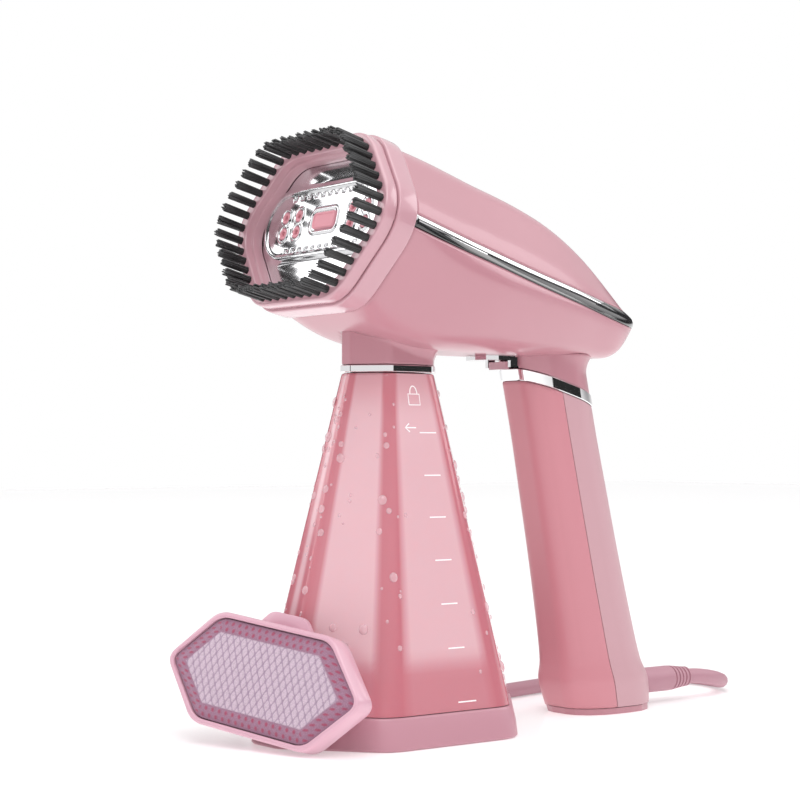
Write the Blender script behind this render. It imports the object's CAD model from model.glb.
"""Looks of a hand-held garment steamer that stands on its water tank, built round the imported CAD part.

Sizes are in millimetres and become metres only where a mesh is made. Z is up, the head looks to -Y.
"""

import logging
import math
from dataclasses import dataclass, field
from enum import Enum
from typing import Callable, Sequence

import bmesh
import bpy
import numpy as np
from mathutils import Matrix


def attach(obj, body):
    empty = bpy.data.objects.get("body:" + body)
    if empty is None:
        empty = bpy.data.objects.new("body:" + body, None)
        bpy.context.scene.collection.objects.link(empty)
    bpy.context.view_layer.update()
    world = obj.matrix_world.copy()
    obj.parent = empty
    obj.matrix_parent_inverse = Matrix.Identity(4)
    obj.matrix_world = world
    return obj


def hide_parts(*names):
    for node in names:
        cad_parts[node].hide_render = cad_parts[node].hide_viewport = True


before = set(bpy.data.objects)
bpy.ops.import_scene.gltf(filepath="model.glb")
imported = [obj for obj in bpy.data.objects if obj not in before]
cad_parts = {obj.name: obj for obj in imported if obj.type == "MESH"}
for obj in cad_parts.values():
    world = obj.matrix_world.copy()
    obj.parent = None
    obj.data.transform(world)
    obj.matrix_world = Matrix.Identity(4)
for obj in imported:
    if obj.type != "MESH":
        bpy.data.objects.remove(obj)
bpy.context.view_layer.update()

log = logging.getLogger("garment_steamer")
MM = 0.001
GAP = 0.3
Array = np.ndarray


class Body(Enum):
    """The parts of the object that move as one."""

    TANK = "tank"
    STEAMER = "steamer"
    BRUSH = "brush"
    PAD = "pad"


# ---- Finishes ----
def linear(code: str) -> tuple[float, float, float, float]:
    """Turns an sRGB hex colour to linear light.

    Args:
        code: Six hex digits.

    Returns:
        Red, green, blue and alpha.
    """
    shares = [int(code[i : i + 2], 16) / 255 for i in (0, 2, 4)]
    light = [c / 12.92 if c <= 0.04045 else ((c + 0.055) / 1.055) ** 2.4 for c in shares]
    return (*light, 1.0)


def add_node(tree: bpy.types.NodeTree, kind: str, settings: dict | None = None, **inputs) -> bpy.types.Node:
    """Adds a node with its settings, socket values and links.

    Args:
        tree: The material's node tree.
        kind: The node's type name.
        settings: Properties of the node itself.
        inputs: Socket names, with _ for a space, and either a value or another node's output.

    Returns:
        The new node.
    """
    node = tree.nodes.new(kind)
    for key, value in (settings or {}).items():
        setattr(node, key, value)
    for key, value in inputs.items():
        socket = node.inputs[int(key[1:])] if key[1:].isdigit() else node.inputs[key.replace("_", " ")]
        if isinstance(value, bpy.types.NodeSocket):
            tree.links.new(value, socket)
        else:
            socket.default_value = value
    return node


@dataclass(frozen=True)
class Finish:
    """A finish with a fine surface texture, made of one material and one process."""

    name: str
    slot: str
    colour: str
    roughness: float
    metallic: float = 0.0
    grain: float = 1.0  # mm between the bumps of its texture
    depth: float = 0.0  # mm, height of those bumps
    coat: float = 0.0
    transmission: float = 0.0
    subsurface: float = 0.0
    ior: float = 1.5
    shade: str = ""  # colour where the piece's own "shade" attribute is 1
    uneven: float = 0.0  # how much the roughness wanders over the surface
    alpha: float = 1.0

    def material(self) -> bpy.types.Material:
        """Builds the material once and returns it after that.

        Returns:
            The material with this finish's name.
        """
        found = bpy.data.materials.get(self.name)
        if found:
            return found
        made = bpy.data.materials.new(self.name)
        made.use_nodes = True
        tree = made.node_tree
        shader = tree.nodes["Principled BSDF"]
        shader.inputs["Base Color"].default_value = linear(self.colour)
        shader.inputs["Roughness"].default_value = self.roughness
        shader.inputs["Metallic"].default_value = self.metallic
        shader.inputs["Coat Weight"].default_value = self.coat
        shader.inputs["Coat Roughness"].default_value = 0.08
        shader.inputs["Alpha"].default_value = self.alpha
        shader.inputs["Transmission Weight"].default_value = self.transmission
        shader.inputs["Subsurface Weight"].default_value = self.subsurface
        shader.inputs["Subsurface Radius"].default_value = (0.004, 0.002, 0.002)
        if not self.metallic:
            shader.inputs["IOR"].default_value = self.ior
        place = add_node(tree, "ShaderNodeTexCoord").outputs["Object"]
        if self.depth:
            pitch = 1 / (self.grain * MM)
            noise = add_node(tree, "ShaderNodeTexNoise", Vector=place, Scale=pitch, Detail=3.0)
            bump = add_node(
                tree, "ShaderNodeBump", Height=noise.outputs["Fac"], Strength=0.6, Distance=self.depth * MM
            )
            tree.links.new(bump.outputs["Normal"], shader.inputs["Normal"])
        if self.uneven:
            cloud = add_node(tree, "ShaderNodeTexNoise", Vector=place, Scale=60.0, Detail=2.0)
            spread = add_node(
                tree, "ShaderNodeMapRange", Value=cloud.outputs["Fac"], From_Min=0.3, From_Max=0.7,
                To_Min=max(self.roughness - self.uneven, 0.02), To_Max=self.roughness + self.uneven,
            )
            tree.links.new(spread.outputs["Result"], shader.inputs["Roughness"])
        if self.shade:
            share = add_node(tree, "ShaderNodeAttribute", {"attribute_name": "shade"})
            mix = add_node(
                tree, "ShaderNodeMix", {"data_type": "RGBA"},
                _0=share.outputs["Fac"], _6=linear(self.colour), _7=linear(self.shade),
            )
            tree.links.new(mix.outputs[2], shader.inputs["Base Color"])
        return made


# Injection-moulded ABS, polished tool: an even rose colour with a soft satin gloss.
SHELL_PINK = Finish("moulded_abs_rose", "shell_pink", "B9828D", 0.28, grain=0.9, depth=0.004, coat=0.25)
# The same ABS on the collar and brush frame, a little lighter because it is polished further.
COLLAR_PINK = Finish("polished_abs_rose", "shell_pink", "C2949E", 0.2, coat=0.5)
# ABS grip half, fine spark-eroded texture that scatters the light.
GRIP_PINK = Finish("textured_abs_rose", "shell_pink", "C49AA2", 0.38, grain=0.6, depth=0.008)
# The same texture on the grip's front half, in a deeper rose.
GRIP_FRONT = Finish("textured_abs_deep_rose", "shell_pink", "C98690", 0.36, grain=0.6, depth=0.008)
# ABS, moulded thick for the tank's base: plain and satin.
BASE_PINK = Finish("moulded_abs_tank_base", "shell_pink", "BF8B98", 0.36, grain=0.8, depth=0.006)
# Tinted polystyrene, moulded: clear enough to show shade behind it, milky where it is thick.
TANK_CLEAR = Finish(
    "moulded_tinted_polystyrene", "tank_clear_pink", "F3C6CE", 0.16, transmission=0.22, subsurface=0.3,
    ior=1.45, shade="D67F8C", coat=0.6,
)
# Vacuum-plated chrome over ABS: a mirror with hardly any texture.
CHROME = Finish("plated_chrome", "chrome_trim", "EDEDEE", 0.07, 1.0)
# The same plating under a smoked lacquer.
SMOKED = Finish("smoked_chrome", "chrome_trim", "1C1D1F", 0.12, coat=0.8)
# Stainless steel sheet, buffed to a mirror after it is pressed.
STEEL = Finish("buffed_stainless_steel", "polished_steel", "E4E4E6", 0.12, 1.0)
# Steel wire and screws, zinc plated: a soft grey shine.
SCREW = Finish("zinc_plated_steel", "fastener_steel", "B9BBBE", 0.3, 1.0)
# Die-cast aluminium, sand-blasted.
CAST = Finish("blasted_cast_aluminium", "cast_aluminium", "A9ABAD", 0.45, 1.0, grain=0.8, depth=0.02)
# Nylon filament, extruded: dull black that greys at the cut ends.
BRISTLE = Finish("extruded_nylon_black", "bristle_black", "2B2B2C", 0.5, shade="4A4A4B", uneven=0.08)
# Nylon, injection moulded: a dull, even black.
BLACK = Finish("moulded_nylon_black", "inner_black", "161616", 0.55, grain=0.8, depth=0.01)
# Glass-epoxy laminate under green lacquer: smooth, with a slight gloss.
BOARD = Finish("lacquered_epoxy_board", "board_green", "2F6B3C", 0.45)
# Silicone rubber tube, extruded: clear and a little milky.
SILICONE = Finish("extruded_silicone", "silicone_clear", "E9DFE0", 0.45, transmission=0.3)
# Brass bar, turned: a warm metal with a fine shine.
BRASS = Finish("turned_brass", "brass", "C9A45C", 0.28, 1.0)
# PVC jacket, extruded: matt, with a very slight waviness along it.
CORD_PINK = Finish("extruded_pvc_rose", "soft_pink", "B28390", 0.48, grain=1.2, depth=0.02, uneven=0.05)
# Silicone rubber, moulded: soft matt pink.
GASKET_PINK = Finish("moulded_silicone_rose", "soft_pink", "DE97A3", 0.5, grain=0.8, depth=0.01)
# Ink, pad-printed on the tank: a flat, even white.
PRINT = Finish("pad_printed_white", "shell_pink", "FBF3F5", 0.5)
# ABS in a paler rose, moulded: satin with a faint grain.
PAD_RIM = Finish("moulded_abs_pale_rose", "shell_pink", "D8A9B9", 0.3, coat=0.4, grain=0.8, depth=0.006)
# Condensed water: clear with sharp highlights, tinted by the wall behind it.
DROPLET = Finish("condensed_water", "silicone_clear", "F6CDD5", 0.03, coat=1.0, ior=1.33, alpha=0.5)


class Fabric:
    """Warp-knitted polyester of the pad: a lilac border with dots and a paler middle with raised diamonds."""

    NAME = "warp_knitted_polyester"
    slot = "pad_fabric"
    DOT_PITCH = 3.3  # mm between dots of the border
    CELL = (3.3, 5.7)  # mm, width and height of a diamond

    def material(self) -> bpy.types.Material:
        """Builds the knit from the piece's UV map, which is in millimetres, and its "border" attribute.

        Returns:
            The material.
        """
        made = bpy.data.materials.new(self.NAME)
        made.use_nodes = True
        tree = made.node_tree
        shader = tree.nodes["Principled BSDF"]
        shader.inputs["Roughness"].default_value = 0.85
        shader.inputs["Sheen Weight"].default_value = 0.35
        shader.inputs["Sheen Tint"].default_value = linear("F4E6F0")
        uv = add_node(tree, "ShaderNodeUVMap").outputs["UV"]
        border = add_node(tree, "ShaderNodeAttribute", {"attribute_name": "border"}).outputs["Fac"]
        dots = add_node(tree, "ShaderNodeAttribute", {"attribute_name": "dots"}).outputs["Fac"]
        cell = add_node(tree, "ShaderNodeAttribute", {"attribute_name": "cell"}).outputs["Fac"]
        # Knitted loops, drawn coarse at 0.5 mm so that they show.
        loops = add_node(tree, "ShaderNodeTexVoronoi", Vector=uv, Scale=2.0, Randomness=0.35)
        middle = self._mix(tree, cell, linear("B79DB4"), linear("DFC7D8"))
        band = self._mix(tree, dots, linear("AC8099"), linear("B2506F"))
        cloth = self._mix(tree, border, middle, band)
        shade = add_node(
            tree, "ShaderNodeMapRange", Value=loops.outputs["Distance"],
            From_Min=0.0, From_Max=0.7, To_Min=1.0, To_Max=0.62,
        )
        final = add_node(tree, "ShaderNodeMix", {"data_type": "RGBA", "blend_type": "MULTIPLY"})
        final.inputs[0].default_value = 1.0
        tree.links.new(cloth, final.inputs[6])
        tree.links.new(shade.outputs["Result"], final.inputs[7])
        tree.links.new(final.outputs[2], shader.inputs["Base Color"])
        bump = add_node(
            tree, "ShaderNodeBump", Height=loops.outputs["Distance"], Strength=0.5, Distance=0.2 * MM
        )
        bump.invert = True
        tree.links.new(bump.outputs["Normal"], shader.inputs["Normal"])
        return made

    @staticmethod
    def _mix(tree: bpy.types.NodeTree, share: bpy.types.NodeSocket, low, high) -> bpy.types.NodeSocket:
        """Blends two colours, each a value or another node's output.

        Args:
            tree: The material's node tree.
            share: 0 gives low and 1 gives high.
            low: First colour.
            high: Second colour.

        Returns:
            The colour output.
        """
        node = add_node(tree, "ShaderNodeMix", {"data_type": "RGBA"}, _0=share, _6=low, _7=high)
        return node.outputs[2]


# ---- Shapes as whole arrays ----
def smooth(points: Sequence[tuple[float, float]]) -> Callable[[Array], Array]:
    """A cubic Hermite curve through points, with each slope taken from the two neighbours.

    Args:
        points: Pairs of place and value, in order.

    Returns:
        A function of an array of places.
    """
    at, value = np.array(points, float).T
    before = np.maximum(np.arange(len(at)) - 1, 0)
    after = np.minimum(np.arange(len(at)) + 1, len(at) - 1)
    slope = (value[after] - value[before]) / (at[after] - at[before])

    def curve(x: Array) -> Array:
        """Value at each place, held level outside the ends."""
        x = np.asarray(x, float)
        i = np.clip(np.searchsorted(at, x, side="right") - 1, 0, len(at) - 2)
        span = at[i + 1] - at[i]
        t = np.clip((x - at[i]) / span, 0, 1)
        rise = slope[i] * span * t * (1 - t) ** 2 - slope[i + 1] * span * t * t * (1 - t)
        return value[i] * (1 + 2 * t) * (1 - t) ** 2 + value[i + 1] * t * t * (3 - 2 * t) + rise

    return curve


def ease(x: Array, low: float, high: float) -> Array:
    """Smooth step from 0 at low to 1 at high."""
    t = np.clip((np.asarray(x, float) - low) / (high - low), 0, 1)
    return t * t * (3 - 2 * t)


def rounded(
    corners: Sequence[tuple[float, float, float]], curve_points: int = 9, edge_points: int = 12
) -> Array:
    """An outline whose corners are quadratic curves and whose edges are straight and evenly divided.

    Args:
        corners: x, y and the share of the shorter edge that the corner's rounding takes.
        curve_points: Points on each rounding.
        edge_points: Divisions of each straight stretch.

    Returns:
        Points (n, 2), not closed, in the corners' order.
    """
    corner = np.array(corners, float)
    place, share = corner[:, :2], corner[:, 2:]
    back, on = np.roll(place, 1, 0) - place, np.roll(place, -1, 0) - place
    far_back, far_on = (np.linalg.norm(d, axis=1, keepdims=True) for d in (back, on))
    reach = share * np.minimum(far_back, far_on)
    start, end = place + back / far_back * reach, place + on / far_on * reach
    t = np.linspace(0, 1, curve_points)[None, :, None]
    curve = (1 - t) ** 2 * start[:, None] + 2 * t * (1 - t) * place[:, None] + t * t * end[:, None]
    s = (np.arange(1, edge_points) / edge_points)[None, :, None]
    edge = end[:, None] * (1 - s) + np.roll(start, -1, 0)[:, None] * s
    return np.concatenate([curve, edge], axis=1).reshape(-1, 2)


def spaced(outline: Array, count: int) -> Array:
    """Points evenly spaced by length along a closed outline.

    Args:
        outline: Points (n, 2), not closed.
        count: Number of points wanted.

    Returns:
        Points (count, 2).
    """
    loop = np.vstack([outline, outline[:1]])
    length = np.r_[0, np.cumsum(np.linalg.norm(np.diff(loop, axis=0), axis=1))]
    at = np.arange(count) / count * length[-1]
    return np.stack([np.interp(at, length, loop[:, i]) for i in (0, 1)], axis=1)


def grid_faces(rows: int, columns: int, loop_rows: bool, loop_columns: bool) -> Array:
    """Quads of a grid of points numbered row by row.

    Args:
        rows: Number of rows.
        columns: Points in each row.
        loop_rows: Joins the last row to the first.
        loop_columns: Joins the last column to the first.

    Returns:
        Faces (n, 4).
    """
    r = np.arange(rows if loop_rows else rows - 1)[:, None]
    c = np.arange(columns if loop_columns else columns - 1)[None, :]
    below, beside = (r + 1) % rows, (c + 1) % columns
    here, down = r * columns, below * columns
    return np.stack([here + c, here + beside, down + beside, down + c], -1).reshape(-1, 4)


@dataclass
class Look:
    """How a mesh is finished once its points are known."""

    finish: Finish | Fabric
    body: Body
    replaces: tuple[str, ...] = ()
    wall: float = 0.0  # mm, thickness given inwards
    angle: float = 35.0  # edges sharper than this stay sharp, in degrees


def as_object(name: str, points: Array, faces: Sequence, look: Look) -> bpy.types.Object:
    """Puts points and faces in a mesh object, turns its faces outwards and gives it its finish.

    The faces are turned when the sum over all faces of normal times distance from the middle is negative.

    Args:
        name: The object's name.
        points: Points (n, 3) in millimetres.
        faces: Point numbers of each face.
        look: Its finish, body and edges.

    Returns:
        The object.
    """
    mesh = bpy.data.meshes.new(name)
    mesh.from_pydata((points.reshape(-1, 3) * MM).tolist(), [], [tuple(int(i) for i in f) for f in faces])
    mesh.update()
    build = bmesh.new()
    build.from_mesh(mesh)
    bmesh.ops.remove_doubles(build, verts=build.verts, dist=1e-6)
    bmesh.ops.dissolve_degenerate(build, edges=build.edges, dist=1e-6)
    bmesh.ops.recalc_face_normals(build, faces=build.faces)
    centre = points.reshape(-1, 3).mean(axis=0) * MM
    away = [f.calc_center_median() - type(f.normal)(centre) for f in build.faces]
    side = sum(f.normal.dot(d) * f.calc_area() for f, d in zip(build.faces, away))
    if side < 0:
        bmesh.ops.reverse_faces(build, faces=build.faces)
    build.to_mesh(mesh)
    build.free()
    return dress(name, mesh, look)


def dress(name: str, mesh: bpy.types.Mesh, look: Look) -> bpy.types.Object:
    """Makes an object of a mesh, with its finish, smooth faces and wall, riding on its body.

    Args:
        name: The object's name.
        mesh: Its mesh, in place.
        look: Its finish, body and edges.

    Returns:
        The object.
    """
    mesh.polygons.foreach_set("use_smooth", np.ones(len(mesh.polygons), bool))
    mesh.set_sharp_from_angle(angle=math.radians(look.angle))
    mesh.materials.append(look.finish.material())
    piece = bpy.data.objects.new(name, mesh)
    bpy.context.scene.collection.objects.link(piece)
    if look.wall:
        wall = piece.modifiers.new("wall", "SOLIDIFY")
        wall.thickness, wall.offset, wall.use_even_offset = look.wall * MM, -1.0, True
        wall.use_quality_normals = True
    if look.replaces:
        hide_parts(*look.replaces)
    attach(piece, look.body.value)
    log.info("built %s", name)
    return piece


def skin(name: str, rows: Array, look: Look, loop_rows: bool = False, loop_columns: bool = True,
         caps: bool = False, keep: Array | None = None) -> bpy.types.Object:
    """A surface through a grid of points.

    Args:
        name: The object's name.
        rows: Points (rows, columns, 3).
        look: Its finish, body and edges.
        loop_rows: Joins the last row to the first.
        loop_columns: Joins the last column to the first.
        caps: Closes the first and last row with a face.
        keep: Which of the quads stay, or None for all.

    Returns:
        The object.
    """
    count, across = rows.shape[:2]
    faces = grid_faces(count, across, loop_rows, loop_columns)
    if keep is not None:
        faces = faces[keep(rows.reshape(-1, 3)[faces].mean(axis=1))]
    polygons = faces.tolist()
    if caps:
        polygons += [list(range(across)), list(range((count - 1) * across, count * across))]
    return as_object(name, rows, polygons, look)


def set_attribute(piece: bpy.types.Object, name: str, value: Callable[[Array], Array]) -> None:
    """Gives each point of a mesh a number worked out from its place.

    Args:
        piece: The object.
        name: The attribute's name.
        value: A function of the points (n, 3) in millimetres.
    """
    mesh = piece.data
    place = np.empty(len(mesh.vertices) * 3, np.float32)
    mesh.vertices.foreach_get("co", place)
    attribute = mesh.attributes.new(name, "FLOAT", "POINT")
    attribute.data.foreach_set("value", value(place.reshape(-1, 3) / MM).astype(np.float32))


def join_all(blocks: Sequence[tuple[Array, Array]]) -> tuple[Array, list]:
    """Joins several sets of points and faces in one.

    Args:
        blocks: Points (n, 3) and faces (m, k) of each.

    Returns:
        All points and a list of all faces.
    """
    points, faces, start = [], [], 0
    for place, quads in blocks:
        points.append(place.reshape(-1, 3))
        faces += (np.asarray(quads) + start).tolist()
        start += len(points[-1])
    return np.vstack(points), faces


# ---- Water tank ----
@dataclass
class WaterTank:
    """Tapering eight-sided tank with its base, level marks, droplets and neck ring."""

    height: float = 140.8
    half_width: float = 42.2
    half_length: float = 58.8
    side_flat: float = 30.3
    end_flat: float = 8.1
    corner: float = 0.14
    top_scale: float = 0.35
    wall: float = 1.8
    base_height: float = 12.3
    base_proud: float = 0.5
    neck_radius: float = 10.5
    neck_bore: float = 8.6
    neck_top: float = 148.5
    ring: tuple[float, float] = (141.1, 143.8)
    ring_proud: float = 0.6
    levels: tuple[tuple[float, float, float], ...] = (
        (0.5, 8.5, 117.7), (0.3, 8.2, 101.3), (0.5, 8.3, 85.3), (0.7, 8.6, 69.0), (1.1, 8.9, 52.5),
        (1.9, 9.7, 35.9), (3.6, 12.3, 15.8),
    )  # Y from and to, and the height of each level line
    line: float = 0.5
    droplet_count: int = 230
    seed: int = 7

    def scale(self, z: Array) -> Array:
        """Size of the outline at a height, against the floor's."""
        return 1 - (1 - self.top_scale) * np.asarray(z, float) / self.height

    def outline(self, edge_points: int = 12) -> Array:
        """The eight-sided outline with both half sizes taken as 1.

        Args:
            edge_points: Divisions of each straight stretch.

        Returns:
            Points (n, 2).
        """
        a, b, k = self.end_flat / self.half_width, self.side_flat / self.half_length, self.corner
        corners = [
            (1, b, k), (a, 1, k), (-a, 1, k), (-1, b, k), (-1, -b, k), (-a, -1, k), (a, -1, k), (1, -b, k),
        ]
        return rounded(corners, 9, edge_points)

    def rings(self, heights: Sequence[float], proud: Sequence[float], scales: Array | None = None) -> Array:
        """The outline carried up, times the scale of each height, plus a constant outward step.

        Args:
            heights: Height of each ring.
            proud: Outward step of each ring.
            scales: Scale of each ring, or None for the tank's taper.

        Returns:
            Points (rings, n, 3).
        """
        z, step = np.array(heights, float)[:, None], np.array(proud, float)[:, None]
        s = self.scale(z) if scales is None else np.asarray(scales, float).reshape(-1, 1)
        u, v = self.outline().T
        x, y = u * (self.half_width * s + step), v * (self.half_length * s + step)
        return np.stack([x, y, np.broadcast_to(z, x.shape)], -1)

    def shell(self) -> None:
        """Clear shell: the taper closed by a shoulder that turns up into the round neck."""
        bottom = self.base_height + GAP
        heights = np.linspace(bottom, self.height - 1.2, 44)
        side = self.rings(heights, np.zeros(44))
        edge = self.rings([self.height - 0.35, self.height], [-0.1, -0.9])
        u, v = self.outline().T
        angle = np.arctan2(v * self.half_length, u * self.half_width)
        circle = np.stack([np.cos(angle), np.sin(angle)], -1)
        neck = [
            np.column_stack([circle * r, np.full(len(u), z)])
            for r, z in (
                (self.neck_radius + 0.6, self.height), (self.neck_radius, self.height + 0.5),
                (self.neck_radius, self.neck_top - 0.3), (self.neck_radius - 0.3, self.neck_top),
                (self.neck_bore, self.neck_top), (self.neck_bore, self.height - self.wall),
            )
        ]
        below = heights[::-2]
        inside = self.rings([self.height - self.wall, *below], [-self.wall] * (1 + len(below)))
        rows = np.concatenate([side, edge, np.stack(neck), inside])
        look = Look(TANK_CLEAR, Body.TANK, ("tank_shell",), angle=50)
        piece = skin("tank_shell_clear", rows, look, loop_rows=True)
        set_attribute(piece, "shade", self.shading)

    def shading(self, place: Array) -> Array:
        """Deeper tint where light runs along the wall: by each upright edge, the shoulder and the foot.

        Args:
            place: Points (n, 3).

        Returns:
            A share from 0 to 1 for each.
        """
        x, y, z = place.T
        s = self.scale(z)
        u, v = np.abs(x) / (self.half_width * s), np.abs(y) / (self.half_length * s)
        a, b = self.end_flat / self.half_width, self.side_flat / self.half_length
        near = np.minimum(np.hypot((u - 1) * 0.9, v - b), np.hypot(u - a, (v - 1) * 0.9))
        band = 1 - ease(near, 0.1, 0.17)
        foot = 1 - ease(z, 26, 36)
        top = ease(z, 122, 141)
        return np.clip(0.95 * band + 0.75 * foot * (1 - band) + 0.45 * top, 0, 1)

    def base(self) -> None:
        """Opaque base with softly rounded edges, standing a little proud of the shell."""
        top, p = self.base_height, self.base_proud
        rows = self.rings(
            [0.0, 0.0, 0.25, 0.9, 2.0, 6.0, top - 0.9, top - 0.3, top, top],
            [-4.0, -1.2, -0.4, p - 0.1, p, p, p, p - 0.2, p - 0.6, -2.4],
        )
        skin("tank_base_moulding", rows, Look(BASE_PINK, Body.TANK, ("tank_base",)), caps=True)

    def neck_ring(self) -> None:
        """Plated ring with an upright face between the shoulder and the socket."""
        low, high = self.ring
        p = self.ring_proud
        heights = [low, low, low + 0.25, high - 0.25, high, high]
        rows = self.rings(heights, [-3.4, p - 0.3, p, p, p - 0.3, -3.4], np.full(6, self.top_scale))
        skin("neck_ring_plated", rows, Look(CHROME, Body.TANK, ("tank_neck_ring",), angle=25), loop_rows=True)

    def on_side(self, y: Array, z: Array, lift: float) -> Array:
        """Places on the flat side that faces +X, a little above its surface.

        Args:
            y: Places along the side.
            z: Heights.
            lift: Height over the surface.

        Returns:
            Points (..., 3).
        """
        y, z = np.broadcast_arrays(np.asarray(y, float), np.asarray(z, float))
        return np.stack([self.half_width * self.scale(z) + lift, y, z], -1)

    def strokes(self) -> list[tuple[Array, Array]]:
        """Printed strokes, each a thin closed box along a line: level lines, an arrow and a closed padlock.

        Returns:
            Points and faces of each stroke.
        """
        paths = [(((a, z), (b, z)), self.line) for a, b, z in self.levels]
        paths += [(((-6.2, 119.6), (-1.0, 119.6)), 0.5), (((-4.2, 121.2), (-6.2, 119.6), (-4.2, 118.0)), 0.5)]
        paths += [(((-3.0, 128.4), (2.4, 128.4), (2.4, 132.6), (-3.0, 132.6), (-3.0, 128.4)), 0.45)]
        bow = np.linspace(0, math.pi, 13)
        paths += [(tuple(zip(-0.3 + 1.7 * np.cos(bow), 132.8 + 2.9 * np.sin(bow))), 0.45)]
        blocks = []
        for path, width in paths:
            line = np.array(path, float)
            tangent = np.gradient(line, axis=0)
            tangent /= np.maximum(np.linalg.norm(tangent, axis=1, keepdims=True), 1e-9)
            normal = np.stack([-tangent[:, 1], tangent[:, 0]], -1) * width / 2
            left, right = line - normal, line + normal
            section = [
                self.on_side(*left.T, -0.05), self.on_side(*right.T, -0.05), self.on_side(*right.T, 0.08),
                self.on_side(*left.T, 0.08),
            ]
            rows = np.stack(section, 1)
            ends = [[0, 1, 2, 3], [len(line) * 4 - i for i in (4, 3, 2, 1)]]
            faces = grid_faces(len(line), 4, False, True).tolist() + ends
            blocks.append((rows, np.array(faces)))
        return blocks

    def marks(self) -> None:
        """Printed level marks in one piece."""
        points, faces = join_all(self.strokes())
        as_object("level_marks", points, faces, Look(PRINT, Body.TANK))

    def droplets(self) -> None:
        """Drops of water on the shell: flattened half balls set on the faces at seeded random places.

        Each drop is a dome of 4 rings and 10 sides: radius times cos and sin of its rise, flattened to 0.45.
        """
        random = np.random.default_rng(self.seed)
        outline = np.vstack([self.outline(), self.outline()[:1]])
        count = self.droplet_count
        z = 22 + 112 * random.random(count)
        at = random.random(count) * (len(outline) - 1)
        low = at.astype(int)
        share = (at - low)[:, None]
        uv = outline[low] * (1 - share) + outline[low + 1] * share
        size = np.array([self.half_width, self.half_length])
        step = (outline[low + 1] - outline[low]) * size
        step /= np.linalg.norm(step, axis=1, keepdims=True)
        s = self.scale(z)[:, None]
        centre = np.column_stack([uv * size * s, z])
        out = np.column_stack([-step[:, 1], step[:, 0], np.zeros(count)])
        out *= np.sign((out[:, :2] * uv).sum(axis=1))[:, None]
        along = np.column_stack([step, np.zeros(count)])
        taper = (1 - self.top_scale) / self.height * (np.abs(out[:, :2]) * size * np.abs(uv)).sum(axis=1)
        up = np.column_stack([-out[:, :2] * taper[:, None], np.ones(count)])
        up /= np.linalg.norm(up, axis=1, keepdims=True)
        out = np.cross(along, up) * np.sign((np.cross(along, up) * out).sum(axis=1))[:, None]
        radius = 0.5 + 1.7 * random.random(count) ** 2.2
        rise = np.radians([-12, 15, 45, 72])
        turn = np.arange(10) / 10 * 2 * math.pi
        ring = np.cos(rise)[:, None, None] * np.stack([np.cos(turn), np.sin(turn) * 1.15], -1)[None]
        local = np.concatenate([ring, np.broadcast_to(np.sin(rise)[:, None, None] * 0.45, (4, 10, 1))], -1)
        axes = np.stack([along, up, out], 1)
        dome = centre[:, None, None] + radius[:, None, None, None] * np.einsum("rkc,ncd->nrkd", local, axes)
        faces = grid_faces(4, 10, False, True)
        marks = (uv[:, 0] > 0.98) & (centre[:, 1] > -10) & (centre[:, 1] < 14)
        blocks = []
        for drop in dome[~marks]:
            caps = np.array([[0, 1, 2, 3], [0, 3, 4, 5], [0, 5, 6, 7], [0, 7, 8, 9]])
            blocks.append((drop, np.vstack([faces, caps + 30, caps])))
        points, quads = join_all(blocks)
        as_object("condensed_droplets", points, quads, Look(DROPLET, Body.TANK, angle=60))

    def build(self) -> None:
        """Builds every piece of the tank."""
        self.shell()
        self.base()
        self.neck_ring()
        self.marks()
        self.droplets()


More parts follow.
